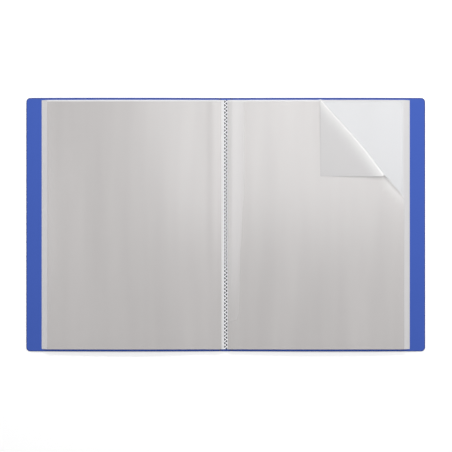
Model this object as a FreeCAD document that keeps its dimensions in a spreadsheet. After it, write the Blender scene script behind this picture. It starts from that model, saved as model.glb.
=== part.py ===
# Open display album lying flat: a sheet cover with two scored fold lines, a welded centre seam,
# and on each side of the seam a stack of clear pockets that turn like pages.
# Frame: +X towards the right-hand page, +Y towards the head of the pages, +Z up,
# with the origin on the surface under the middle of the spine. All sizes are in millimetres.
import FreeCAD
import Part
import math
import os
import Sketcher

# Driving dimensions, which become the cells of the sheet
DRIVING = {
    # Cover sheet
    "cover_height": 310,
    "panel_width": 237,
    "cover_gauge": 0.6,
    "cover_corner": 5,
    "spine_width": 14,
    "web_gauge": 0.24,
    "fold_clearance": 0.05,
    # Pocket leaves
    "leaf_height": 304.2,
    "leaf_reach": 225,
    "leaf_creep": 0.8,
    "film_gauge": 0.05,
    "pocket_slot": 0.1,
    "leaf_clearance": 0.05,
    "weld_width": 2,
    # Centre seam with its two staggered rows of weld dents
    "seam_width": 5,
    "root_clearance": 0.1,
    "dent_width": 1.8,
    "dent_length": 2.2,
    "dent_depth": 0.4,
    "dent_pitch": 4.4,
    "dent_row_gap": 1.9,
    "dent_margin": 3,
    # Folded corner of the top leaf on the right: its two legs and the inside radius of the bend
    "corner_head_leg": 97,
    "corner_fore_leg": 107,
    "corner_bend": 1.7,
}
LEAVES_PER_SIDE = 10
LEFT, RIGHT = -1, 1
SIDE_NAMES = {LEFT: "left", RIGHT: "right"}
Z_AXIS = FreeCAD.Vector(0, 0, 1)
Y_FROM_Z = FreeCAD.Rotation(FreeCAD.Vector(1, 0, 0), -90)

# A sketch's own numbers for the points of an edge, and for its origin and axes
START, END, CENTRE = range(1, 4)
LEVEL_AXIS, UPRIGHT_AXIS = range(-1, -3, -1)
ORIGIN = LEVEL_AXIS

# Sizes worked out from the cells, as formulas
HALF_SPINE = "(Sizes.spine_width / 2)"
HALF_COVER = "(Sizes.cover_height / 2)"
HALF_LEAF = "(Sizes.leaf_height / 2)"
BEAD_RADIUS = "(Sizes.web_gauge / 2)"
SCORE = f"(Sizes.cover_gauge - {BEAD_RADIUS} + Sizes.fold_clearance)"
ROOT = "(Sizes.seam_width / 2 + Sizes.root_clearance)"
LEAF_GAUGE = "(2 * Sizes.film_gauge + Sizes.pocket_slot)"
LEAF_PITCH = f"({LEAF_GAUGE} + Sizes.leaf_clearance)"
STACK_HEIGHT = f"({LEAVES_PER_SIDE} * {LEAF_PITCH})"
CREASE_LENGTH = "hypot(Sizes.corner_head_leg; Sizes.corner_fore_leg)"
CREASE_ANGLE = "-atan2(Sizes.corner_fore_leg; Sizes.corner_head_leg)"

doc = FreeCAD.newDocument("DisplayAlbum")


def fill_sheet():
    """Write every driving dimension into a cell with its own alias."""
    sheet = doc.addObject("Spreadsheet::Sheet", "Sizes")
    for row, (name, value) in enumerate(DRIVING.items(), start=1):
        sheet.set(f"A{row}", name)
        sheet.set(f"B{row}", str(value))
        sheet.setAlias(f"B{row}", name)
    doc.recompute()


def bind(obj, **formulas):
    """Bind properties of an object to formulas; x, y and z stand for its place."""
    for name, formula in formulas.items():
        path = f"Placement.Base.{name}" if name in ("x", "y", "z") else name
        obj.setExpression(path, formula)
    return obj


def block(name, length, width, height, x, y, z):
    """A plain rectangular piece of sheet or film, placed by its lowest corner."""
    box = doc.addObject("Part::Box", name)
    return bind(box, Length=length, Width=width, Height=height, x=x, y=y, z=z)


def gather(kind, label, pieces):
    """Join pieces into one labelled object: Part::MultiFuse for one solid, Part::Compound for a group."""
    joined = doc.addObject(kind, label)
    joined.Label = label
    if kind == "Part::MultiFuse":
        joined.Shapes = pieces
        joined.Refine = True
    else:
        joined.Links = pieces
    return joined


def sketch_on(body, role, lift=None):
    """An empty sketch on one of the body's own origin planes, lifted off it by a formula if one is given."""
    plane = next(item for item in body.Origin.OriginFeatures if item.Role == role)
    sketch = body.newObject("Sketcher::SketchObject", f"{body.Name}_outline")
    sketch.AttachmentSupport = [(plane, "")]
    sketch.MapMode = "FlatFace"
    if lift:
        sketch.setExpression("AttachmentOffset.Base.z", lift)
    return sketch


def constrain(sketch, constraint, formula=None):
    """Add a constraint and, if a formula is given, bind its value to it."""
    index = sketch.addConstraint(constraint)
    if formula:
        sketch.setExpression(f"Constraints[{index}]", formula)


def add_outline(sketch, corners):
    """A closed outline of straight edges, each corner placed by its two formulas.

    The edges are first drawn round a small circle, and the constraints carry them to their places.
    """
    first = sketch.GeometryCount
    count = len(corners)
    starts = [Part.Circle().value(math.tau * step / count) for step in range(count)]
    for step in range(count):
        sketch.addGeometry(Part.LineSegment(starts[step], starts[(step + 1) % count]))
    for step, (x, y) in enumerate(corners):
        edge = first + step
        following = first + (step + 1) % count
        constrain(sketch, Sketcher.Constraint("Coincident", edge, END, following, START))
        if x == "0":
            constrain(sketch, Sketcher.Constraint("PointOnObject", edge, START, UPRIGHT_AXIS))
        else:
            constrain(sketch, Sketcher.Constraint("DistanceX", ORIGIN, START, edge, START, starts[step].x), x)
        if y == "0":
            constrain(sketch, Sketcher.Constraint("PointOnObject", edge, START, LEVEL_AXIS))
        else:
            constrain(sketch, Sketcher.Constraint("DistanceY", ORIGIN, START, edge, START, starts[step].y), y)


def add_half_ring(sketch, centre, inner, outer):
    """Half a ring on the sketch's upright axis, bulging to its right, between two radii.

    It is first drawn at about its size, and the constraints then give it its real one.
    """
    start_inner = DRIVING["corner_bend"]
    start_outer = start_inner + DRIVING["film_gauge"]
    start_centre = FreeCAD.Vector(0, start_outer, 0)
    quarter = math.pi / 2
    arcs = []
    for radius, start_radius in ((inner, start_inner), (outer, start_outer)):
        circle = Part.Circle(start_centre, Z_AXIS, start_radius)
        arc = sketch.addGeometry(Part.ArcOfCircle(circle, -quarter, quarter))
        for point in (START, END, CENTRE):
            constrain(sketch, Sketcher.Constraint("PointOnObject", arc, point, UPRIGHT_AXIS))
        height = Sketcher.Constraint("DistanceY", ORIGIN, START, arc, CENTRE, start_centre.y)
        constrain(sketch, height, centre)
        constrain(sketch, Sketcher.Constraint("Radius", arc, start_radius), radius)
        arcs.append(arc)
    inner_arc, outer_arc = arcs
    for end in (START, END):
        line = Part.LineSegment(sketch.getPoint(inner_arc, end), sketch.getPoint(outer_arc, end))
        edge = sketch.addGeometry(line)
        constrain(sketch, Sketcher.Constraint("Coincident", edge, START, inner_arc, end))
        constrain(sketch, Sketcher.Constraint("Coincident", edge, END, outer_arc, end))


def pad(body, sketch, length):
    """Raise a sketch into the body by a formula."""
    feature = body.newObject("PartDesign::Pad", f"{body.Name}_pad")
    feature.Profile = sketch
    return bind(feature, Length=length)


def plate_body(name, corners, gauge):
    """A flat body with a straight-edged outline."""
    body = doc.addObject("PartDesign::Body", name)
    body.Label = name
    sketch = sketch_on(body, "XY_Plane")
    add_outline(sketch, corners)
    pad(body, sketch, gauge)
    return body


def rectangle(x0, x1, half_height):
    """Corners of an upright rectangle that is centred on the X axis."""
    low = f"-{half_height}"
    return [(x0, low), (x1, low), (x1, half_height), (x0, half_height)]


def make_cover(label, side):
    """One cover panel: rounded fore-edge corners, and a thin tongue that reaches to the fold line."""
    panel_edge = f"{side} * ({HALF_SPINE} + {SCORE})"
    fore_edge = f"{side} * ({HALF_SPINE} + Sizes.panel_width)"
    tongue_edge = f"{side} * ({HALF_SPINE} + {BEAD_RADIUS} + Sizes.fold_clearance)"
    body = plate_body(label, rectangle(panel_edge, fore_edge, HALF_COVER), "Sizes.cover_gauge")
    tongue = sketch_on(body, "XY_Plane")
    add_outline(tongue, rectangle(tongue_edge, panel_edge, HALF_COVER))
    panel = pad(body, tongue, "Sizes.web_gauge")
    doc.recompute()
    fore = max(side * vertex.X for vertex in panel.Shape.Vertexes)
    corners = [
        f"Edge{number}"
        for number, edge in enumerate(panel.Shape.Edges, start=1)
        if all(abs(side * vertex.X - fore) < 1e-6 for vertex in edge.Vertexes)
        and edge.BoundBox.ZLength > edge.BoundBox.YLength
    ]
    rounding = body.newObject("PartDesign::Fillet", f"{label}_corners")
    rounding.Base = (panel, corners)
    bind(rounding, Radius="Sizes.cover_corner")
    body.Tip = rounding
    return body


def make_spine():
    """The spine panel with a thin web on each side, ending in a round bead on the fold line."""
    low = f"-{HALF_COVER}"
    tall = "Sizes.cover_height"
    flat = f"({HALF_SPINE} - {SCORE})"
    pieces = [block("SpinePanel", f"2 * {flat}", tall, "Sizes.cover_gauge", f"-{flat}", low, "0")]
    for side, web_start in ((LEFT, f"-{HALF_SPINE}"), (RIGHT, flat)):
        name = SIDE_NAMES[side].title()
        pieces.append(block(f"{name}Web", SCORE, tall, "Sizes.web_gauge", web_start, low, "0"))
        bead = doc.addObject("Part::Cylinder", f"{name}Bead")
        bead.Placement.Rotation = Y_FROM_Z
        bind(bead, Radius=BEAD_RADIUS, Height=tall)
        bind(bead, x=f"{side} * {HALF_SPINE}", y=low, z=BEAD_RADIUS)
        pieces.append(bead)
    return gather("Part::MultiFuse", "spine", pieces)


def make_seam():
    """The fused middle of all the sheets, welded to the spine, with two staggered rows of pointed dents.

    Each dent is a triangle that points to the middle, so a zigzag ridge is left between the rows.
    """
    half = "(Sizes.seam_width / 2)"
    body = plate_body("centre_seam", rectangle(f"-{half}", half, HALF_LEAF), STACK_HEIGHT)
    bind(body, z="Sizes.cover_gauge")
    dents = sketch_on(body, "XY_Plane", STACK_HEIGHT)
    for side, stagger in ((LEFT, "0"), (RIGHT, "Sizes.dent_pitch / 2")):
        base = f"({side} * (Sizes.dent_row_gap + Sizes.dent_width) / 2)"
        point = f"({side} * (Sizes.dent_row_gap - Sizes.dent_width) / 2)"
        along = f"(-{HALF_LEAF} + Sizes.dent_margin + {stagger})"
        add_outline(dents, [
            (point, along),
            (base, f"{along} + Sizes.dent_length / 2"),
            (base, f"{along} - Sizes.dent_length / 2"),
        ])
    pocket = body.newObject("PartDesign::Pocket", "dent_pair")
    pocket.Profile = dents
    bind(pocket, Length="Sizes.dent_depth")
    doc.recompute()
    free_length = DRIVING["leaf_height"] - 2 * DRIVING["dent_margin"]
    rows = body.newObject("PartDesign::LinearPattern", "dent_rows")
    rows.Originals = [pocket]
    rows.Direction = (dents, ["V_Axis"])
    rows.Mode = "Spacing"
    rows.Occurrences = int(free_length / DRIVING["dent_pitch"])
    bind(rows, Offset="Sizes.dent_pitch")
    body.Tip = rows
    return body


def leaf_level(number):
    """Height of a leaf's lower face, where leaf 1 lies on top and the last one next to the cover."""
    below = LEAVES_PER_SIDE - number
    return f"(Sizes.cover_gauge + Sizes.leaf_clearance + {below} * {LEAF_PITCH})"


def leaf_reach(number):
    """Distance from the seam's middle to a leaf's fore edge, which steps back up the stack."""
    return f"(Sizes.leaf_reach - {LEAVES_PER_SIDE - number} * Sizes.leaf_creep)"


def make_welds(name, side, number, fore_length):
    """The welded margins between a pocket's two films: along the seam, the foot and the fore edge."""
    reach = leaf_reach(number)
    level = f"({leaf_level(number)} + Sizes.film_gauge)"
    low = f"-{HALF_LEAF}"
    seam_side = ROOT if side == RIGHT else f"-({ROOT} + Sizes.weld_width)"
    fore_side = f"({reach} - Sizes.weld_width)" if side == RIGHT else f"-{reach}"
    foot_start = f"({ROOT} + Sizes.weld_width)" if side == RIGHT else f"-({reach} - Sizes.weld_width)"
    foot_length = f"({reach} - {ROOT} - 2 * Sizes.weld_width)"
    wide = "Sizes.weld_width"
    deep = "Sizes.pocket_slot"
    return [
        block(f"{name}_seam_weld", wide, "Sizes.leaf_height", deep, seam_side, low, level),
        block(f"{name}_foot_weld", foot_length, wide, deep, foot_start, low, level),
        block(f"{name}_fore_weld", wide, fore_length, deep, fore_side, low, level),
    ]


def make_flat_leaf(side, number):
    """One pocket: an outer film with its welds, and an inner film that faces the middle of the album."""
    name = f"{SIDE_NAMES[side]}_pocket_{number:02d}"
    reach = leaf_reach(number)
    level = leaf_level(number)
    start = ROOT if side == RIGHT else f"-{reach}"
    size = (f"({reach} - {ROOT})", "Sizes.leaf_height", "Sizes.film_gauge")
    low = f"-{HALF_LEAF}"
    inner_level = f"({level} + Sizes.film_gauge + Sizes.pocket_slot)"
    outer = block(f"{name}_outer_sheet", *size, start, low, level)
    welds = make_welds(name, side, number, "Sizes.leaf_height")
    inner = block(f"{name}_inner_film", *size, start, low, inner_level)
    inner.Label = f"{name}_inner_film"
    return [gather("Part::Compound", f"{name}_outer_film", [outer] + welds), inner]


def make_folded_corner(name, bend):
    """The part of a film beyond the crease, which runs along +X: a half-round bend and a flap.

    The bend uses up a strip of the corner, and the flap is what is left of it. The slanted cuts at both ends
    of the bend carry the film's two edges round from the crease to the flap.
    """
    head_leg, fore_leg = "Sizes.corner_head_leg", "Sizes.corner_fore_leg"
    bend_axis = f"({bend} + Sizes.film_gauge)"
    flap_level = f"({bend_axis} + {bend})"
    top = f"({flap_level} + Sizes.film_gauge)"
    used_up = f"(pi * ({bend} + Sizes.film_gauge / 2))"
    flap_start = f"({used_up} * {head_leg} / {fore_leg})"
    flap_end = f"({CREASE_LENGTH} - {used_up} * {fore_leg} / {head_leg})"
    tip_along = f"({head_leg} ^ 2 / {CREASE_LENGTH})"
    tip_across = f"({used_up} - {head_leg} * {fore_leg} / {CREASE_LENGTH})"
    body = doc.addObject("PartDesign::Body", f"{name}_corner")
    ring = sketch_on(body, "YZ_Plane")
    add_half_ring(ring, bend_axis, bend, bend_axis)
    pad(body, ring, CREASE_LENGTH)
    ends = sketch_on(body, "XZ_Plane")
    add_outline(ends, [("0", "0"), (flap_start, top), (f"-{bend}", top), (f"-{bend}", "0")])
    past_end = f"({CREASE_LENGTH} + {bend})"
    add_outline(ends, [(CREASE_LENGTH, "0"), (past_end, "0"), (past_end, top), (flap_end, top)])
    trim = body.newObject("PartDesign::Pocket", f"{name}_bend_ends")
    trim.Profile = ends
    trim.SideType = "Symmetric"
    trim.Type = "ThroughAll"
    flap = sketch_on(body, "XY_Plane", flap_level)
    add_outline(flap, [(flap_start, "0"), (tip_along, tip_across), (flap_end, "0")])
    body.Tip = pad(body, flap, "Sizes.film_gauge")
    return body


def make_folded_film(name, label, number, level, bend):
    """A film whose head corner is bent right over: the flat leaf up to the crease, and the folded corner."""
    reach = leaf_reach(number)
    low = f"-{HALF_LEAF}"
    crease_start = f"{reach} - Sizes.corner_head_leg"
    crease_end = f"{HALF_LEAF} - Sizes.corner_fore_leg"
    flat = plate_body(
        f"{name}_flat",
        [(ROOT, low), (reach, low), (reach, crease_end), (crease_start, HALF_LEAF), (ROOT, HALF_LEAF)],
        "Sizes.film_gauge",
    )
    bind(flat, z=level)
    corner = make_folded_corner(name, bend)
    corner.Placement.Rotation = FreeCAD.Rotation(Z_AXIS, -45)
    bind(corner, x=crease_start, y=HALF_LEAF, z=level)
    corner.setExpression("Placement.Rotation.Angle", CREASE_ANGLE)
    return gather("Part::MultiFuse", label, [flat, corner])


def make_folded_leaf(side, number):
    """The top pocket on the right, with both films bent over together at the head corner."""
    name = f"{SIDE_NAMES[side]}_pocket_{number:02d}"
    outer_level = leaf_level(number)
    inner_level = f"({outer_level} + Sizes.film_gauge + Sizes.pocket_slot)"
    outer_bend = "(Sizes.corner_bend + Sizes.film_gauge + Sizes.pocket_slot)"
    outer = make_folded_film(f"{name}_outer", f"{name}_outer_sheet", number, outer_level, outer_bend)
    inner = make_folded_film(f"{name}_inner", f"{name}_inner_film", number, inner_level, "Sizes.corner_bend")
    fore_length = "(Sizes.leaf_height - Sizes.corner_fore_leg)"
    welds = make_welds(name, side, number, fore_length)
    return [gather("Part::Compound", f"{name}_outer_film", [outer] + welds), inner]


def make_leaves():
    """Every pocket on both sides of the seam."""
    films = []
    for side in (LEFT, RIGHT):
        for number in range(1, LEAVES_PER_SIDE + 1):
            folded = side == RIGHT and number == 1
            films += make_folded_leaf(side, number) if folded else make_flat_leaf(side, number)
    return films


def check_document():
    """Stop if any object failed to build."""
    doc.recompute()
    for item in doc.Objects:
        if "Invalid" in item.State or "Error" in item.State:
            raise RuntimeError(f"{item.Label} failed: {item.State}")


def write_parts(parts):
    """Write each sub-part to its own file once its shape is known to be sound."""
    for part in parts:
        if part.Shape.isNull() or not part.Shape.isValid() or not part.Shape.Solids:
            raise RuntimeError(f"{part.Label} has no valid solid")
    os.makedirs("parts", exist_ok=True)
    for part in parts:
        part.Shape.exportStep(os.path.join("parts", f"{part.Label}.step"))
    print(f"{len(parts)} parts written")


fill_sheet()
covers = [make_cover("front_cover", LEFT), make_cover("back_cover", RIGHT)]
all_parts = covers + [make_spine(), make_seam()] + make_leaves()
check_document()
write_parts(all_parts)
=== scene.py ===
# Looks of the open display album: cover sheet, welded seam, clear pockets, soft light and a white floor.
# Shapes are worked out in millimetres in the CAD frame and become metres when a mesh is made.
import bmesh
import bpy
import math
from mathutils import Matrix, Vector


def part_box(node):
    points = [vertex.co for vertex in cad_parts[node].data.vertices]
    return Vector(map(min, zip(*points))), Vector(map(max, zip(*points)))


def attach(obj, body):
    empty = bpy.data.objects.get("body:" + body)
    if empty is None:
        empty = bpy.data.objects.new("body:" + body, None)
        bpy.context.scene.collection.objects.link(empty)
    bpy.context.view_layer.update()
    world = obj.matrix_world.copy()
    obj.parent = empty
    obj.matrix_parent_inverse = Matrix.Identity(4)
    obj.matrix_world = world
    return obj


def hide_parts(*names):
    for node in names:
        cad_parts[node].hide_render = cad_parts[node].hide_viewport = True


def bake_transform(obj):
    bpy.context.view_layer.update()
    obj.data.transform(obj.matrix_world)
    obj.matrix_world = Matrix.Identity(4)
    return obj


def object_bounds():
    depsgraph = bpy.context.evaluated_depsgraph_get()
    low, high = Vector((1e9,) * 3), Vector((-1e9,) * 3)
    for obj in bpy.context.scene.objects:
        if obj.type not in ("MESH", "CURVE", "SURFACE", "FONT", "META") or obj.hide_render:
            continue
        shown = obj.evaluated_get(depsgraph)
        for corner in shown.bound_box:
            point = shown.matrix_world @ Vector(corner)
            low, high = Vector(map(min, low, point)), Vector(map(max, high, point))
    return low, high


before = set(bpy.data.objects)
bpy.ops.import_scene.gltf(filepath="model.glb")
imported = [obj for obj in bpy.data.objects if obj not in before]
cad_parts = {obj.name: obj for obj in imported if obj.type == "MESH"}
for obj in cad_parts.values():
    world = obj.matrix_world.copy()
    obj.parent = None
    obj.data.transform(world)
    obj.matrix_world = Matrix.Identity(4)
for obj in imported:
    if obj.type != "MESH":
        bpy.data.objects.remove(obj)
cad_low, cad_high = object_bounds()

MM = 0.001
LEFT, RIGHT = -1, 1
SIDE_NAMES = {LEFT: "left", RIGHT: "right"}
COVER_NAMES = {LEFT: "front_cover", RIGHT: "back_cover"}
LEAVES_PER_SIDE = 10
SHARP_ANGLE = math.radians(35)

# Cover sheet: a slight bow across each panel, softened edges, and fine ribs pressed into its outer face
BOW_HEIGHT = 1.4
BOW_STEP = 10.0
EDGE_WIDTH = 0.9
EDGE_DROP = 0.08
FOLD_STEP = 0.65
FOLD_SLANT = 0.1
WEB_GAUGE = 0.26
COVER_CORNER = 5.0
CORNER_STEPS = 10
RIB_HEIGHT = 0.16
RIB_PITCH = 2.4
RIB_FOOT = 1.2
RIB_CREST = 0.7
RIB_ANGLE = math.radians(53)
RIB_MARGIN = 1.9

# Leaves: two films with a welded margin, pressed together at the seam and lying in low waves
FILM_GAUGE = 0.05
FILM_OFFSET = 0.05
WELD_WIDTH = 2.0
WELD_FADE = (0.8 * WELD_WIDTH, 1.3 * WELD_WIDTH)
WELD_BORDER = 1.0
# Pale bead at the left top leaf's root: partly the weld, partly a painted highlight
ROOT_WELD_AND_HIGHLIGHT = 2.2
ROOT_HIGHLIGHT_FADE = (0.7 * ROOT_WELD_AND_HIGHLIGHT, 1.4 * ROOT_WELD_AND_HIGHLIGHT)
# Width of the pale strip along every leaf's head edge, a painted highlight where the edges catch the light
HEAD_HIGHLIGHT_WIDTH = 1.2
PINCH = 0.2
PINCH_START = 2.6
PINCH_REACH = 9.0
HUMPS = {LEFT: [(0.8, 14.0, 7.0)], RIGHT: [(0.75, 6.0, 7.0), (0.35, 34.0, 9.0)]}
# Pale band beside the seam on the right top leaf: a painted highlight for the light band of the gutter's
# bulge
HIGHLIGHT_BAND = (4.0, 21.6)
HIGHLIGHT_BAND_SHARE = 0.27
HIGHLIGHT_BAND_EDGES = (2.0, 1.5)
HIGHLIGHT_BAND_NARROWING = 5.6
HIGHLIGHT_BAND_TAPER = (-80.0, 80.0)
HIGHLIGHT_BAND_FADE = (-145.0, -25.0)
WAVE_HEIGHT = 0.25
WAVE_LENGTH = 150.0
WAVE_SPAN = 260.0
WAVE_PHASES = {LEFT: 0.6, RIGHT: 2.1}
WAVE_REACH = 60.0
PUFF_HEIGHT = 0.25
PUFF_MARGIN = 7.0
PUFF_ROOT = 4 * PUFF_MARGIN
PUFF_CALM = 25.0
BEND_WIDTH = 0.5
BEND_STEP = 0.05
GUTTER_STEP = 0.5
NEAR_STEP = 2.25
NEAR_REACH = 36.0
COLUMN_STEP = 5.0
ROW_STEP = 7.0

# Folded head corner of the right top leaf: its line, and a roll that widens towards the fore edge
CREASE_START = Vector((116.5, 152.1))
CREASE_TOWARDS = Vector((194.3, 58.2))
CREASE_BULGE = 2.8
CREASE_BULGE_SKEW = 1.5
CREASE_SPREAD_FROM = 118.0
CREASE_SPREAD = 4.0
ROLL_STEPS = 20
ROLL_STRIP = 23.9
ROLL_WIDTH = (2.2, 3.4)
ROLL_HEIGHT = (0.9, 2.2)
ROLL_TURN_SHARE = 0.3
ROLL_SLIDE = 0.72
FLAP_BASE = (0.5, 119.3)
FLAP_TIP = Vector((115.3, 58.8))
FLAP_TIP_SHARE = 0.2
FLAP_STEP = 6.0

# That corner's film: a painted highlight at its bend (partly stress whitening) and at the fold's open end,
# painted shade on the flap and its rim
CREASE_HIGHLIGHT_RANGE = (0.8, 1.0)
CREASE_HIGHLIGHT_SPAN = (0.45, 0.75)
CREASE_RISE = (0.2, 0.45)
CREASE_FALL = (0.75, 1.0)
CREASE_FADE = 15.0
TAIL_HIGHLIGHT = 0.3
TAIL_FADE = 10.0
TAIL_LENGTH = 14.0
FLAP_HIGHLIGHT = 0.5
FLAP_SHADE = 0.5
RIM_SHADE = 0.7
RIM_SPAN = (0.8, 1.35)

# Seam: a shallow trough with two staggered rows of weld dents, each a triangle that points to the middle
DENT_PITCH = 4.4
DENT_BASE = 1.8
DENT_WIDTH = 2.3
DENT_LENGTH = 3.5
DENT_DEPTH = 0.4
DENT_MARGIN = 3.0
DENT_RIM = (-0.08, 0.06)
DENT_ROWS = 20
SEAM_STEP = 0.2
TROUGH_DEPTH = 0.2
TROUGH_POWER = 4

# Materials: noise scales per metre, relief as a strength and a depth in metres, and tints
NOISE_SPAN = (0.2, 0.8)
CLOUD_SCALE = 14
CLOUD_STRETCH = (1, 0.3, 1)
STREAK_SCALE = 30
STREAK_STRETCH = (1, 0.12, 1)
COVER_GRAIN = 1600
COVER_RELIEF = (0.25, 0.0001)
COVER_GLOSS_SPREAD = 0.05
INSIDE_TINTS = (0.056, 0.112, 0.447), (0.060, 0.118, 0.467)
OUTSIDE_TINTS = (0.018, 0.110, 0.53), (0.022, 0.122, 0.57)
# Ribs a lighter blue than the sheet: partly rubbed crests, mostly a painted highlight that makes them read
RIB_HIGHLIGHT_TINTS = (0.036, 0.165, 0.70), (0.042, 0.180, 0.74)
# Cut edges and a thin band of the inside face darker: partly the edge's own colour, partly painted shade
EDGE_AND_SHADE_TINTS = (0.020, 0.038, 0.185), (0.025, 0.046, 0.210)
FILM_GRAIN = 2500
FILM_RELIEF = (0.05, 0.00001)
FILM_ROUGHNESS = (0.255, 0.265)
FILM_IOR = 2.0
FILM_SPECULAR = 0.58
FILM_ALPHA = 0.7
WELD_MATT = 0.3
CREASE_GLOSS = 0.14
TOP_HAZE = (0.611, 0.584, 0.579), (0.646, 0.619, 0.614)
# Top leaves' weld mark holds only the head strip, root bead and band: painted highlight, the bead partly
# weld
TOP_HIGHLIGHT_TINT = (0.85, 0.85, 0.86)
INNER_HAZE = (0.655, 0.661, 0.681), (0.69, 0.696, 0.716)
# Inner leaves: paler welds, and the same tint on their head edges as a painted highlight
INNER_WELD_AND_HIGHLIGHT_TINT = (0.73, 0.72, 0.73)
STREAK_TINT = (0.43, 0.415, 0.405)
# Painted highlight along the folded corner's bend, partly stress whitening
CREASE_HIGHLIGHT_TINT = (0.90, 0.90, 0.90)
# Painted shade on the flap and along its cut rim
PAINTED_SHADE_TINT = (0.44, 0.44, 0.45)
SEAM_CLOUD = 180
SEAM_RELIEF = (0.2, 0.0001)
SEAM_ROUGHNESS = (0.25, 0.38)
SEAM_SPECULAR = 0.2
MILK_TINTS = (0.88, 0.88, 0.90), (0.96, 0.96, 0.98)
# Near-black dents: the darker cover seen through the clear weld spots, deepened as painted shade
DENT_COVER_AND_SHADE_TINT = (0.014, 0.012, 0.024)

# Camera, floor and light; the floor glows more with its distance from the object, in metres
IMAGE_SIZE = 452
SENSOR = 36.0
CAMERA_HEIGHT = 1000.0
OBJECT_WIDTH_PIXELS = 398.6
OBJECT_CENTRE_PIXELS = (225.7, 224.65)
FLOOR_SIZE = 4000.0
FLOOR_LEVEL = -0.02
FLOOR_TINT = (0.93, 0.93, 0.93, 1)
FLOOR_ROUGHNESS = 0.9
FLOOR_GLOW = 0.2
FLOOR_FAR_GLOW = 0.6
FLOOR_NEAR = 0.6
FLOOR_FAR = 2.4
WORLD_LIGHT = 0.42
WHITE = (1, 1, 1, 1)


def smooth(low, high, value):
    """0 below low, 1 above high, with a smooth step between them."""
    share = min(1.0, max(0.0, (value - low) / (high - low)))
    return share * share * (3 - 2 * share)


def node_box(name):
    """Lowest and highest corners of a CAD node in millimetres."""
    low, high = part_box(name)
    return low / MM, high / MM


def new_object(name, points, faces, materials, marks=None):
    """A mesh object from points in millimetres, smooth but for sharp edges; marks number the materials."""
    mesh = bpy.data.meshes.new(name)
    mesh.from_pydata([tuple(coordinate * MM for coordinate in point) for point in points], [], faces)
    for material in materials:
        mesh.materials.append(material)
    if marks:
        mesh.polygons.foreach_set("material_index", marks)
    mesh.polygons.foreach_set("use_smooth", [True] * len(mesh.polygons))
    mesh.set_sharp_from_angle(angle=SHARP_ANGLE)
    mesh.update()
    made = bpy.data.objects.new(name, mesh)
    bpy.context.scene.collection.objects.link(made)
    return made


def set_attribute(made, name, values):
    """A number for each point of a mesh, for its material to read."""
    attribute = made.data.attributes.new(name, "FLOAT", "POINT")
    attribute.data.foreach_set("value", values)


def face_edges(face):
    """Pairs of neighbouring corners round a face."""
    return zip(face, face[1:] + face[:1])


def close_sheet(faces, count):
    """Faces of a closed sheet from those of its upper side; each point's twin below comes count later."""
    edges = dict.fromkeys(edge for face in faces for edge in face_edges(face))
    closed = [tuple(face) for face in faces]
    closed += [tuple(corner + count for corner in reversed(face)) for face in faces]
    for start, end in edges:
        if (end, start) not in edges:
            closed.append((end, start, start + count, end + count))
    return closed


def shell(points, faces, low, high):
    """A closed sheet between two distances along the normals of an open one."""
    normals = [Vector() for point in points]
    for face in faces:
        normal = Vector()
        for start, end in face_edges(face):
            normal += points[start].cross(points[end])
        for corner in face:
            normals[corner] += normal
    normals = [normal.normalized() for normal in normals]
    upper = [point + normal * high for point, normal in zip(points, normals)]
    lower = [point + normal * low for point, normal in zip(points, normals)]
    return upper + lower, close_sheet(faces, len(points))


def join(*parts):
    """Several point and face lists as one."""
    points, faces = [], []
    for part_points, part_faces in parts:
        offset = len(points)
        points += part_points
        faces += [tuple(corner + offset for corner in face) for face in part_faces]
    return points, faces


def stepped(start, end, step):
    """Even steps from start to end, both included."""
    count = max(1, round((end - start) / step))
    return [start + (end - start) * index / count for index in range(count + 1)]


def cut_sheet(points, faces, cuts, marks=None):
    """A mesh divided along straight cuts, each a place and the direction across it; face marks are kept."""
    sheet = bmesh.new()
    corners = [sheet.verts.new(point) for point in points]
    for index, face in enumerate(faces):
        made = sheet.faces.new([corners[corner] for corner in face])
        made.material_index = marks[index] if marks else 0
    for place, across in cuts:
        everything = sheet.verts[:] + sheet.edges[:] + sheet.faces[:]
        bmesh.ops.bisect_plane(sheet, geom=everything, plane_co=place, plane_no=across)
    sheet.verts.index_update()
    cut_points = [corner.co.copy() for corner in sheet.verts]
    cut_faces = [tuple(corner.index for corner in face.verts) for face in sheet.faces]
    cut_marks = [face.material_index for face in sheet.faces]
    sheet.free()
    return cut_points, cut_faces, cut_marks


# Materials

def start_material(name):
    """A new material with its node tree and its main shader."""
    material = bpy.data.materials.new(name)
    material.use_nodes = True
    tree = material.node_tree
    return material, tree, tree.nodes["Principled BSDF"]


def add_node(tree, kind, settings=None, inputs=None):
    """A node with its settings and its unlinked inputs."""
    node = tree.nodes.new(kind)
    for name, value in (settings or {}).items():
        setattr(node, name, value)
    for name, value in (inputs or {}).items():
        node.inputs[name].default_value = value
    return node


def add_noise(tree, scale, detail, stretch=(1, 1, 1)):
    """Noise over the mesh's own place in metres, stretched along an axis if asked."""
    place = add_node(tree, "ShaderNodeTexCoord")
    mapping = add_node(tree, "ShaderNodeMapping", inputs={"Scale": stretch})
    noise = add_node(tree, "ShaderNodeTexNoise", inputs={"Scale": scale, "Detail": detail})
    tree.links.new(place.outputs["Object"], mapping.inputs["Vector"])
    tree.links.new(mapping.outputs["Vector"], noise.inputs["Vector"])
    return noise.outputs["Fac"]


def add_range(tree, factor, low, high):
    """The middle part of a noise factor, spread from low to high."""
    start, end = NOISE_SPAN
    inputs = {"From Min": start, "From Max": end, "To Min": low, "To Max": high}
    node = add_node(tree, "ShaderNodeMapRange", inputs=inputs)
    tree.links.new(factor, node.inputs["Value"])
    return node.outputs["Result"]


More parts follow.
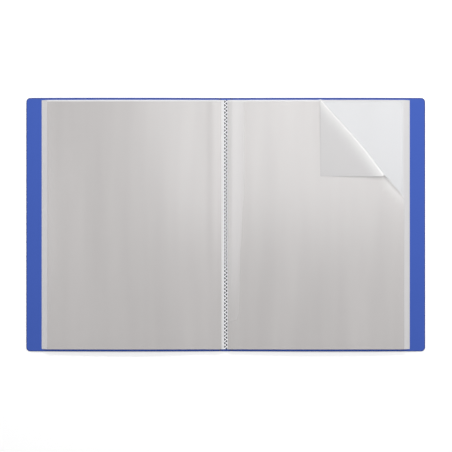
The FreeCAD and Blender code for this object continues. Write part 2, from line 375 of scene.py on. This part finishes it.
def add_mix(tree, factor, first, second):
    """Two colours mixed by a factor; each is a colour or another node's output."""
    mix = add_node(tree, "ShaderNodeMix", {"data_type": "RGBA"})
    tree.links.new(factor, mix.inputs["Factor"])
    colour_sockets = [socket for socket in mix.inputs if socket.type == "RGBA"]
    for socket, colour in zip(colour_sockets, (first, second)):
        if isinstance(colour, tuple):
            socket.default_value = (*colour, 1)
        else:
            tree.links.new(colour, socket)
    return next(socket for socket in mix.outputs if socket.type == "RGBA")


def add_bump(tree, shader, height, strength, distance):
    """Fine relief from a height factor."""
    bump = add_node(tree, "ShaderNodeBump", inputs={"Strength": strength, "Distance": distance})
    tree.links.new(height, bump.inputs["Height"])
    tree.links.new(bump.outputs["Normal"], shader.inputs["Normal"])


def cover_material(name, first, second, roughness, specular):
    """Tinted sheet plastic: a faint cloud in the colour, a fine matt grain and uneven gloss."""
    material, tree, shader = start_material(name)
    cloud = add_noise(tree, CLOUD_SCALE, detail=4)
    grain = add_noise(tree, COVER_GRAIN, detail=2)
    tree.links.new(add_mix(tree, cloud, first, second), shader.inputs["Base Color"])
    low, high = roughness - COVER_GLOSS_SPREAD, roughness + COVER_GLOSS_SPREAD
    tree.links.new(add_range(tree, cloud, low, high), shader.inputs["Roughness"])
    add_bump(tree, shader, grain, *COVER_RELIEF)
    shader.inputs["Specular IOR Level"].default_value = specular
    return material


def film_material(name, first, second, welded, streaky):
    """Hazy clear film: soft gloss, faint streaks, paler welds, painted highlights at edges and the crease,
    painted shade on the flap.
    """
    material, tree, shader = start_material(name)
    cloud = add_noise(tree, CLOUD_SCALE, detail=2, stretch=CLOUD_STRETCH)
    streaks = add_noise(tree, STREAK_SCALE, detail=2, stretch=STREAK_STRETCH)
    grain = add_noise(tree, FILM_GRAIN, detail=2)
    colour = add_mix(tree, cloud, first, second)
    colour = add_mix(tree, add_range(tree, streaks, 0, streaky), colour, STREAK_TINT)
    shares = {}
    # The weld tint is partly painted highlight, the crease tint a painted highlight, the rim tint painted
    # shade
    for mark, tint in (("weld", welded), ("crease", CREASE_HIGHLIGHT_TINT), ("rim", PAINTED_SHADE_TINT)):
        shares[mark] = add_node(tree, "ShaderNodeAttribute", {"attribute_name": mark}).outputs["Fac"]
        colour = add_mix(tree, shares[mark], colour, tint)
    tree.links.new(colour, shader.inputs["Base Color"])
    matt = add_node(tree, "ShaderNodeMath", {"operation": "MULTIPLY_ADD"}, {1: WELD_MATT})
    tree.links.new(shares["weld"], matt.inputs[0])
    tree.links.new(add_range(tree, streaks, *FILM_ROUGHNESS), matt.inputs[2])
    gloss = add_node(tree, "ShaderNodeMath", {"operation": "MULTIPLY_ADD"}, {1: -CREASE_GLOSS})
    tree.links.new(shares["crease"], gloss.inputs[0])
    tree.links.new(matt.outputs["Value"], gloss.inputs[2])
    tree.links.new(gloss.outputs["Value"], shader.inputs["Roughness"])
    add_bump(tree, shader, grain, *FILM_RELIEF)
    shader.inputs["IOR"].default_value = FILM_IOR
    shader.inputs["Specular IOR Level"].default_value = FILM_SPECULAR
    shader.inputs["Alpha"].default_value = FILM_ALPHA
    return material


def seam_material():
    """Fused film: milky between the dents; near-black in them, the cover seen through, deepened by painted
    shade.
    """
    material, tree, shader = start_material("weld_seam")
    dent = add_node(tree, "ShaderNodeAttribute", {"attribute_name": "dent"})
    cloud = add_noise(tree, SEAM_CLOUD, detail=3)
    milk = add_mix(tree, cloud, *MILK_TINTS)
    colour = add_mix(tree, dent.outputs["Fac"], milk, DENT_COVER_AND_SHADE_TINT)
    tree.links.new(colour, shader.inputs["Base Color"])
    tree.links.new(add_range(tree, cloud, *SEAM_ROUGHNESS), shader.inputs["Roughness"])
    add_bump(tree, shader, cloud, *SEAM_RELIEF)
    shader.inputs["Specular IOR Level"].default_value = SEAM_SPECULAR
    return material


cover_inside = cover_material("cover_inside", *INSIDE_TINTS, roughness=0.55, specular=0.05)
cover_outside = cover_material("cover_outside", *OUTSIDE_TINTS, roughness=0.42, specular=0.25)
# Lighter rib finish: partly rubbed, mostly a painted highlight
cover_rib_highlight = cover_material("cover_rib_highlight", *RIB_HIGHLIGHT_TINTS, roughness=0.32, specular=0.35)
# Dark edge finish: partly the cut edge's colour, partly painted shade
cover_edge_and_shade = cover_material("cover_edge_and_shade", *EDGE_AND_SHADE_TINTS, roughness=0.5, specular=0.15)
top_film = film_material("pocket_film_top", *TOP_HAZE, welded=TOP_HIGHLIGHT_TINT, streaky=0.4)
inner_film = film_material("pocket_film", *INNER_HAZE, welded=INNER_WELD_AND_HIGHLIGHT_TINT, streaky=0.12)
weld_seam = seam_material()


# Cover sheet

fold_line = node_box("spine")[1].x
fore_edge = node_box("back_cover")[1].x


def bow(x):
    """How far a panel and the leaves on it stand off the table: most in the middle of each panel."""
    share = min(1.0, max(0.0, (abs(x) - fold_line) / (fore_edge - fold_line)))
    return BOW_HEIGHT * math.sin(math.pi * share)


def panel_ring(low, high, fold_sides, free_inset, fold_inset, level):
    """A closed ring round a panel, drawn in from its free edges and its fold edges."""
    left = low.x + (fold_inset if LEFT in fold_sides else free_inset)
    right = high.x - (fold_inset if RIGHT in fold_sides else free_inset)
    ring = []
    for side, end in ((RIGHT, 1), (LEFT, 1), (LEFT, -1), (RIGHT, -1)):
        x = right if side == RIGHT else left
        y = high.y - free_inset if end > 0 else low.y + free_inset
        radius = 0 if side in fold_sides else COVER_CORNER - free_inset
        centre_x, centre_y = x - side * radius, y - end * radius
        angles = [math.pi / 2 * step / CORNER_STEPS for step in range(CORNER_STEPS + 1)]
        if side * end < 0:
            angles.reverse()
        for angle in angles:
            ring.append(Vector((
                centre_x + side * radius * math.cos(angle),
                centre_y + end * radius * math.sin(angle),
                level,
            )))
    return ring


def bridge(rings):
    """A closed skin over rings of equal length, from the lowest to the highest."""
    count = len(rings[0])
    points = [point for ring in rings for point in ring]
    faces = [tuple(reversed(range(count)))]
    for level in range(len(rings) - 1):
        base = level * count
        for step in range(count):
            after = (step + 1) % count
            faces.append((base + step, base + after, base + count + after, base + count + step))
    faces.append(tuple(range(len(points) - count, len(points))))
    return points, faces


def rib_ends(low, high, middle, direction):
    """Where a slanted line through a point enters and leaves a rectangle, or nothing if it misses."""
    near, far = -math.inf, math.inf
    for axis in (0, 1):
        hits = sorted((bound[axis] - middle[axis]) / direction[axis] for bound in (low, high))
        near, far = max(near, hits[0]), min(far, hits[1])
    return (near, far) if far - near > RIB_PITCH else None


def pressed_ribs(low, high, level):
    """Slanted ribs below a panel's outer face, each a long low ridge."""
    inner_low = Vector((low.x + RIB_MARGIN, low.y + RIB_MARGIN))
    inner_high = Vector((high.x - RIB_MARGIN, high.y - RIB_MARGIN))
    direction = Vector((-math.cos(RIB_ANGLE), math.sin(RIB_ANGLE)))
    across = Vector((direction.y, -direction.x))
    span = (inner_high - inner_low).length / 2
    centre = (inner_low + inner_high) / 2
    parts = []
    for shift in stepped(-span, span, RIB_PITCH):
        middle = centre + across * shift
        ends = rib_ends(inner_low, inner_high, middle, direction)
        if not ends:
            continue
        rings = []
        for width, height in ((RIB_CREST, level - RIB_HEIGHT), (RIB_FOOT, level + EDGE_DROP / 2)):
            corners = [(ends[0], 1), (ends[1], 1), (ends[1], -1), (ends[0], -1)]
            rings.append([
                (middle + direction * along - across * (hand * width / 2)).to_3d() + Vector((0, 0, height))
                for along, hand in corners
            ])
        parts.append(bridge(rings))
    return join(*parts)


def make_panel(node, body, fold_sides):
    """A cover panel or the spine: satin inside, ribbed outside with a painted highlight on the ribs, cut
    edges darkened partly as painted shade, and thin folds.
    """
    low, high = node_box(node)
    base = low.z + RIB_HEIGHT
    rings = [
        panel_ring(low, high, fold_sides, EDGE_WIDTH, 0, base),
        panel_ring(low, high, fold_sides, 0, 0, base + EDGE_DROP),
        panel_ring(low, high, fold_sides, 0, FOLD_STEP, low.z + WEB_GAUGE),
        panel_ring(low, high, fold_sides, 0, FOLD_STEP, high.z - EDGE_DROP),
        panel_ring(low, high, fold_sides, EDGE_WIDTH, FOLD_STEP + FOLD_SLANT, high.z),
    ]
    plate_points, plate_faces = bridge(rings)
    rib_points, rib_faces = pressed_ribs(low, high, base)
    points, faces = join((plate_points, plate_faces), (rib_points, rib_faces))
    inside, outside, edge, rib = range(4)
    marks = [outside] + [edge] * (len(plate_faces) - 2) + [inside] + [rib] * len(rib_faces)
    cuts = [(Vector((x, 0, 0)), Vector((1, 0, 0))) for x in stepped(low.x, high.x, BOW_STEP)[1:-1]]
    points, faces, marks = cut_sheet(points, faces, cuts, marks)
    for point in points:
        point.z += bow(point.x)
    finishes = [cover_inside, cover_outside, cover_edge_and_shade, cover_rib_highlight]
    panel = new_object(f"{node}_sheet", points, faces, finishes, marks)
    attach(panel, body)
    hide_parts(node)


for side, node in COVER_NAMES.items():
    make_panel(node, node, [-side])
make_panel("spine", "spine", [LEFT, RIGHT])


# Leaves

cover_top = node_box("front_cover")[1].z
stack_top = node_box("centre_seam")[1].z


def leaf_rise(side, out, y, share):
    """How far a leaf is lifted off its flat level; share is 0 at the cover and 1 for the top leaf."""
    hump = sum(height * math.exp(-((out - place) / width) ** 2) for height, place, width in HUMPS[side])
    phase = WAVE_PHASES[side]
    wave = math.sin(math.tau * out / WAVE_LENGTH + phase) * math.cos(math.tau * y / WAVE_SPAN + phase / 2)
    fade = smooth(PINCH_REACH, WAVE_REACH, out)
    return share * (hump + WAVE_HEIGHT * (1 + wave) / 2 * fade)


def leaf_height(side, out, y, level):
    """Height of a leaf's middle at a place, from its flat level."""
    share = (level - cover_top) / (stack_top - cover_top)
    pressed = PINCH * (1 - smooth(PINCH_START, PINCH_REACH, out))
    return cover_top + (level - cover_top) * (1 - pressed) + leaf_rise(side, out, y, share) + bow(out)


def root_columns(root):
    """Columns of the strip at a leaf's root, which bends when the cover closes."""
    return stepped(root, root + BEND_WIDTH, BEND_STEP)


def leaf_columns(root, reach):
    """Columns from the root strip out to the fore edge, close together where the leaf bends over."""
    columns = stepped(root + BEND_WIDTH, root + 2 * BEND_WIDTH, BEND_STEP)
    columns += stepped(columns[-1], PINCH_REACH, GUTTER_STEP)[1:]
    columns += stepped(PINCH_REACH, NEAR_REACH, NEAR_STEP)[1:]
    columns += stepped(NEAR_REACH, reach - WELD_WIDTH - WELD_BORDER, COLUMN_STEP)[1:]
    return columns + [reach - WELD_WIDTH, reach - WELD_WIDTH / 2, reach]


def leaf_rows(half):
    """Rows from the foot of a leaf to its head, close together at its welds."""
    rows = [-half, -half + WELD_WIDTH / 2, -half + WELD_WIDTH]
    rows += stepped(-half + WELD_WIDTH + WELD_BORDER, half - 2 * HEAD_HIGHLIGHT_WIDTH, ROW_STEP)
    return rows + [half - HEAD_HIGHLIGHT_WIDTH, half]


def grid_faces(column_count, row_count, side):
    """Four-sided faces of a grid, facing up on both sides of the seam."""
    faces = []
    for column in range(column_count - 1):
        for row in range(row_count - 1):
            first = column * row_count + row
            face = (first, first + row_count, first + row_count + 1, first + 1)
            faces.append(face if side == RIGHT else tuple(reversed(face)))
    return faces


class Crease:
    """The folded corner: a low roll along a slanted line, and a flap that lies back over the page."""

    def __init__(self, reach, half):
        self.span = (CREASE_TOWARDS - CREASE_START).length
        self.along = (CREASE_TOWARDS - CREASE_START).normalized()
        self.across = Vector((-self.along.y, self.along.x))
        self.fore = reach - CREASE_START.x
        self.length = self.fore / self.along.x
        corner = Vector((reach, half)) - CREASE_START
        along = corner.dot(self.along)
        self.flap_length = corner.dot(self.across) - self.line(along) - self.bulge(along) - ROLL_STRIP

    def place(self, along, out):
        """Plan place of a point from its distances along and across the crease."""
        return CREASE_START + self.along * along + self.across * out

    def roll(self, along):
        """Width of the roll and height of the flap beside it, at a distance along the crease."""
        share = min(1.0, max(0.0, along / self.length))
        return tuple(start + (end - start) * share for start, end in (ROLL_WIDTH, ROLL_HEIGHT))

    def cuts(self):
        """Lines along which the film is divided, so that it can bend."""
        roll = stepped(-ROLL_WIDTH[1], CREASE_SPREAD + ROLL_STRIP, ROLL_STRIP / ROLL_STEPS)
        flap = stepped(roll[-1], roll[-1] + self.flap_length, FLAP_STEP)[1:]
        return [(self.place(0, out).to_3d(), self.across.to_3d()) for out in roll + flap]

    def line(self, along):
        """Where the film starts to lift; the fold opens out towards the fore edge."""
        past = max(0.0, along - CREASE_SPREAD_FROM) / (self.length - CREASE_SPREAD_FROM)
        return CREASE_SPREAD * past * past - self.roll(along)[0]

    def bulge(self, along):
        """How far the crease bends out from a straight line."""
        share = min(1.0, max(0.0, along / self.span))
        return CREASE_BULGE * math.sin(math.pi * share ** CREASE_BULGE_SKEW)

    def tail(self, along):
        """How much painted highlight the film gets beyond the flap's tip, where the fold opens out."""
        return TAIL_HIGHLIGHT * smooth(CREASE_SPREAD_FROM, CREASE_SPREAD_FROM + TAIL_LENGTH, along)

    def film_span(self, out):
        """Where the film's head edge and fore edge lie along the crease, at a distance across it."""
        head = out * self.along.x / self.across.x
        return head, (self.fore - out * self.across.x) / self.along.x

    def fold(self, x, y):
        """Where a point of the flat film goes when the corner is folded.

        Gives its plan place, its height above the leaf, its distance past the crease and how much painted
        highlight the bend gets, partly stress whitening.
        """
        offset = Vector((x, y)) - CREASE_START
        along, out = offset.dot(self.along), offset.dot(self.across)
        line = self.line(along)
        past = out - line - self.bulge(along)
        if past <= 0:
            return x, y, 0.0, past, self.tail(along) * smooth(-TAIL_FADE, 0, past)
        width, height = self.roll(along)
        head, fore = self.film_span(out)
        share = min(1.0, max(0.0, (along - head) / max(fore - head, MM)))
        if past < ROLL_STRIP:
            turned = past / ROLL_STRIP
            first_head, first_fore = self.film_span(line)
            start = first_head + (FLAP_BASE[0] - first_head) * turned
            end = first_fore + (FLAP_BASE[1] - first_fore) * smooth(0, ROLL_SLIDE, turned)
            carried = start + (end - start) * share
            if turned < 0.5:
                reach = width * math.sin(math.pi * turned)
                lift = height * ROLL_TURN_SHARE * (1 - math.cos(math.pi * turned))
            else:
                remaining = 2 - 2 * turned
                reach = width * remaining
                lift = height * (1 - (1 - ROLL_TURN_SHARE) * remaining * remaining)
            place = self.place(carried, line + reach + self.bulge(carried))
            # white is a painted highlight along the roll, partly stress whitening
            white = smooth(*CREASE_RISE, turned) * (1 - (1 - FLAP_HIGHLIGHT) * smooth(*CREASE_FALL, turned))
            white = max(white, self.tail(carried))
        else:
            back = min(1.0, (past - ROLL_STRIP) / self.flap_length)
            carried = FLAP_BASE[0] + (FLAP_BASE[1] - FLAP_BASE[0]) * share
            place = self.place(carried, line + self.bulge(carried)).lerp(FLAP_TIP, back)
            lift = height * (1 - (1 - FLAP_TIP_SHARE) * back)
            white = FLAP_HIGHLIGHT * (1 - smooth(0, CREASE_FADE, past - ROLL_STRIP))
        faint, full = CREASE_HIGHLIGHT_RANGE
        white *= faint + (full - faint) * smooth(*CREASE_HIGHLIGHT_SPAN, share)
        return place.x, place.y, lift, past, white


class Leaf:
    """One pocket leaf, with its sizes from the CAD films."""

    def __init__(self, side, number):
        self.side = side
        self.number = number
        self.top = number == 1
        self.folded = self.top and side == RIGHT
        self.name = f"{SIDE_NAMES[side]}_pocket_{number:02d}"
        outer_low, outer_high = node_box(f"{self.name}_outer_film")
        flat_low = node_box(f"left_pocket_{number:02d}_outer_film")[0]
        flat_inner = node_box(f"left_pocket_{number:02d}_inner_film")[1]
        self.level = (outer_low.z + flat_inner.z) / 2
        self.root = outer_low.x if side == RIGHT else -outer_high.x
        self.reach = -flat_low.x
        self.half = -outer_low.y

    def puff(self, out, y):
        """How full the pocket stands between its welded margins, most at its open head."""
        sides = smooth(self.root + WELD_WIDTH, self.root + PUFF_ROOT, out)
        sides *= 1 - smooth(self.reach - WELD_WIDTH - PUFF_MARGIN, self.reach - WELD_WIDTH, out)
        foot = smooth(-self.half + WELD_WIDTH, -self.half + WELD_WIDTH + PUFF_MARGIN, y)
        return sides * foot * PUFF_HEIGHT

    def weld_and_highlight_share(self, out, y):
        """1 on the leaf's welds and on a painted highlight along its head edge, and 0 inside its pocket.

        A top leaf has a pale bead at its root on the left, partly weld and partly painted highlight, and on
        the right a faint painted highlight band beside the seam, which narrows and fades towards the foot.
        """
        head = 1 - smooth(HEAD_HIGHLIGHT_WIDTH, 2 * HEAD_HIGHLIGHT_WIDTH, self.half - y)
        if not self.top:
            nearest = min(out - self.root, self.reach - out, y + self.half)
            return max(head, 1 - smooth(*WELD_FADE, nearest))
        if self.side == LEFT:
            return max(head, 1 - smooth(*ROOT_HIGHLIGHT_FADE, out - self.root))
        low, high = HIGHLIGHT_BAND
        high -= HIGHLIGHT_BAND_NARROWING * (1 - smooth(*HIGHLIGHT_BAND_TAPER, y))
        near_edge, far_edge = HIGHLIGHT_BAND_EDGES
        band = smooth(low - near_edge, low, out) * (1 - smooth(high - far_edge, high + far_edge, out))
        return max(head, HIGHLIGHT_BAND_SHARE * band * smooth(*HIGHLIGHT_BAND_FADE, y))

    def films(self, columns):
        """Points and faces of the two films over some columns, and the marks of their points."""
        rows = leaf_rows(self.half)
        flat_points = [Vector((self.side * out, y, 0)) for out in columns for y in rows]
        faces = grid_faces(len(columns), len(rows), self.side)
        crease = Crease(self.reach, self.half)
        if self.folded:
            flat_points, faces = cut_sheet(flat_points, faces, crease.cuts())[:2]
        films = []
        crease_highlights, rim_shades, calms = ([value] * len(flat_points) for value in (0.0, 0.0, 1.0))
        for inner in (True, False):
            points = []
            for index, point in enumerate(flat_points):
                x, y, lift, past = point.x, point.y, 0.0, -PUFF_CALM
                if self.folded:
                    x, y, lift, past, crease_highlights[index] = crease.fold(x, y)
                    at_edge = max(point.x - self.reach, point.y - self.half) > -MM
                    calms[index] = 1 - smooth(0, PUFF_MARGIN, past)
                    # Painted shade: darker along the cut rim and over the flap
                    shade = RIM_SHADE if at_edge else FLAP_SHADE
                    rim_shades[index] = shade * smooth(*RIM_SPAN, past / ROLL_STRIP)
                z = leaf_height(self.side, abs(x), y, self.level) + lift
                if inner and self.top:
                    z += self.puff(abs(point.x), point.y) * smooth(0, PUFF_CALM, -past)
                points.append(Vector((x, y, z)))
            start = FILM_OFFSET if inner else -FILM_OFFSET - FILM_GAUGE
            films.append(shell(points, faces, start, start + FILM_GAUGE))
        welds = [self.weld_and_highlight_share(abs(at.x), at.y) * calm for at, calm in zip(flat_points, calms)]
        marks = {"weld": welds, "crease": crease_highlights, "rim": rim_shades}
        faces_per_film = 2
        copies = faces_per_film * len(films)
        return *join(*films), {mark: values * copies for mark, values in marks.items()}


def leaf_body(side, number):
    """Name of a leaf's body; a number past the last leaf gives the spine."""
    return "spine" if number > LEAVES_PER_SIDE else f"{SIDE_NAMES[side]}_leaf_{number:02d}"


def bend(piece, side):
    """Bakes a piece's placement into its mesh, on either side of the seam."""
    if side == RIGHT:
        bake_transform(piece)
    else:
        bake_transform(piece)


def make_leaf(leaf):
    """A leaf from its root strip outwards; the lowest is attached to its own body, the others are baked in
    place.
    """
    points, faces, marks = leaf.films(leaf_columns(leaf.root, leaf.reach))
    films = new_object(f"{leaf.name}_films", points, faces, [top_film if leaf.top else inner_film])
    for mark, values in marks.items():
        set_attribute(films, mark, values)
    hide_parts(f"{leaf.name}_outer_film", f"{leaf.name}_inner_film")
    body = leaf_body(leaf.side, leaf.number)
    if leaf.number == LEAVES_PER_SIDE:
        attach(films, body)
    else:
        bend(films, leaf.side)


def make_roots(side, leaves):
    """The root strips of one side's leaves, welded to the seam, made as one mesh and baked in place."""
    parts, finish, marks = [], [], {"weld": [], "crease": [], "rim": []}
    for leaf in leaves:
        points, faces, leaf_marks = leaf.films(root_columns(leaf.root))
        parts.append((points, faces))
        finish += [0 if leaf.top else 1] * len(faces)
        for mark, values in leaf_marks.items():
            marks[mark] += values
    roots = new_object(f"{SIDE_NAMES[side]}_pocket_roots", *join(*parts), [top_film, inner_film], finish)
    for mark, values in marks.items():
        set_attribute(roots, mark, values)
    bend(roots, side)


for side in SIDE_NAMES:
    leaves = [Leaf(side, number) for number in range(1, LEAVES_PER_SIDE + 1)]
    make_roots(side, leaves)
    for leaf in leaves:
        make_leaf(leaf)


# Seam

def dent_share(x, y, first):
    """1 in a weld dent and 0 outside it, with a soft rim."""
    deepest = 0.0
    half_pitch = DENT_PITCH / 2
    for side, stagger in ((LEFT, 0.0), (RIGHT, half_pitch)):
        along = (y - first - stagger) / DENT_PITCH
        gap = abs(along - round(along)) * DENT_PITCH
        from_point = side * x - (DENT_BASE - DENT_WIDTH)
        slant = DENT_LENGTH / 2 / DENT_WIDTH
        inside = min(DENT_WIDTH - from_point, (from_point * slant - gap) / math.hypot(1, slant))
        deepest = max(deepest, smooth(*DENT_RIM, inside))
    return deepest


def make_seam():
    """The welded strip between the pages, sunk a little, with its dents."""
    low, high = node_box("centre_seam")
    columns = stepped(low.x, high.x, SEAM_STEP)
    rows = stepped(low.y, high.y, DENT_PITCH / DENT_ROWS)
    brim = cover_top + (high.z - cover_top) * (1 - PINCH)
    points, dents = [], []
    for x in columns:
        for y in rows:
            share = dent_share(x, y, low.y + DENT_MARGIN)
            trough = TROUGH_DEPTH * (1 - (x / high.x) ** TROUGH_POWER)
            points.append(Vector((x, y, brim - trough - DENT_DEPTH * share)))
            dents.append(share)
    faces = close_sheet(grid_faces(len(columns), len(rows), RIGHT), len(points))
    below = [Vector((point.x, point.y, low.z)) for point in points]
    seam = new_object("centre_seam_weld", points + below, faces, [weld_seam])
    set_attribute(seam, "dent", dents + [0.0] * len(below))
    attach(seam, "spine")
    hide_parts("centre_seam")


make_seam()


# Floor, light and camera

def add_shown(tree):
    """1 for rays that show the background: those of the camera, of reflections and through the films."""
    rays = add_node(tree, "ShaderNodeLightPath")
    shown = rays.outputs["Is Camera Ray"]
    for kind in ("Is Glossy Ray", "Is Transmission Ray"):
        larger = add_node(tree, "ShaderNodeMath", {"operation": "MAXIMUM"})
        tree.links.new(shown, larger.inputs[0])
        tree.links.new(rays.outputs[kind], larger.inputs[1])
        shown = larger.outputs["Value"]
    return shown


def make_floor():
    """A white floor that keeps the object's soft shadow."""
    size = FLOOR_SIZE
    corners = [(-size, -size), (size, -size), (size, size), (-size, size)]
    material, tree, shader = start_material("floor_white")
    shader.inputs["Base Color"].default_value = FLOOR_TINT
    shader.inputs["Roughness"].default_value = FLOOR_ROUGHNESS
    shader.inputs["Specular IOR Level"].default_value = 0.0
    shader.inputs["Emission Color"].default_value = WHITE
    floor = new_object("floor", [(x, y, FLOOR_LEVEL) for x, y in corners], [(0, 1, 2, 3)], [material])
    place = add_node(tree, "ShaderNodeTexCoord")
    distance = add_node(tree, "ShaderNodeVectorMath", {"operation": "LENGTH"})
    spread = {"From Min": FLOOR_NEAR, "From Max": FLOOR_FAR, "To Min": FLOOR_GLOW, "To Max": FLOOR_FAR_GLOW}
    glow = add_node(tree, "ShaderNodeMapRange", inputs=spread)
    strength = add_node(tree, "ShaderNodeMath", {"operation": "MULTIPLY"})
    tree.links.new(place.outputs["Object"], distance.inputs[0])
    tree.links.new(distance.outputs["Value"], glow.inputs["Value"])
    tree.links.new(glow.outputs["Result"], strength.inputs[1])
    tree.links.new(add_shown(tree), strength.inputs[0])
    tree.links.new(strength.outputs["Value"], shader.inputs["Emission Strength"])


def make_world():
    """Even light from all round, with a white backdrop for the camera."""
    world = bpy.data.worlds.new("studio")
    bpy.context.scene.world = world
    world.use_nodes = True
    tree = world.node_tree
    surround = tree.nodes["Background"]
    surround.inputs["Color"].default_value = WHITE
    surround.inputs["Strength"].default_value = WORLD_LIGHT
    backdrop = add_node(tree, "ShaderNodeBackground", inputs={"Color": WHITE, "Strength": 1.0})
    mix = add_node(tree, "ShaderNodeMixShader")
    tree.links.new(add_shown(tree), mix.inputs["Fac"])
    tree.links.new(surround.outputs["Background"], mix.inputs[1])
    tree.links.new(backdrop.outputs["Background"], mix.inputs[2])
    tree.links.new(mix.outputs["Shader"], tree.nodes["World Output"].inputs["Surface"])


def make_lamp(name, place, target, size, power, mirrored=True):
    """A large soft lamp that points at a place, and shows in the films' gloss if mirrored."""
    light = bpy.data.lights.new(name, "AREA")
    light.shape = "RECTANGLE"
    light.size, light.size_y = size
    light.energy = power
    lamp = bpy.data.objects.new(name, light)
    bpy.context.scene.collection.objects.link(lamp)
    lamp.location = place
    lamp.visible_glossy = mirrored
    lamp.rotation_euler = (Vector(target) - Vector(place)).to_track_quat("-Z", "Y").to_euler()


def make_camera():
    """Straight above the open album, framed as in the photograph."""
    scale = (cad_high.x - cad_low.x) / OBJECT_WIDTH_PIXELS
    camera = bpy.data.cameras.new("camera")
    camera.sensor_width = SENSOR
    camera.lens = SENSOR * CAMERA_HEIGHT * MM / (scale * IMAGE_SIZE)
    eye = bpy.data.objects.new("camera", camera)
    bpy.context.scene.collection.objects.link(eye)
    middle = IMAGE_SIZE / 2
    offset_x = (middle - OBJECT_CENTRE_PIXELS[0]) * scale
    offset_y = (OBJECT_CENTRE_PIXELS[1] - middle) * scale
    eye.location = (offset_x, offset_y, CAMERA_HEIGHT * MM)
    bpy.context.scene.camera = eye


make_floor()
make_world()
make_lamp("head_softbox", place=(0.38, 0.50, 1.1), target=(0.38, 0.50, 0), size=(1.10, 1.0), power=7.5)
make_lamp("corner_softbox", place=(0.88, 0.64, 0.80), target=(0.19, 0.06, 0), size=(0.3, 0.3), power=0.7)
make_lamp(
    "back_softbox", place=(-0.2, 2.6, 1.32), target=(0, 0, 0), size=(3.2, 0.24), power=46, mirrored=False
)
make_lamp("fill_softbox", place=(-0.85, 0.1, 1.0), target=(0, 0, 0), size=(0.5, 0.8), power=1.1)
make_camera()
bpy.context.scene.view_settings.view_transform = "Standard"
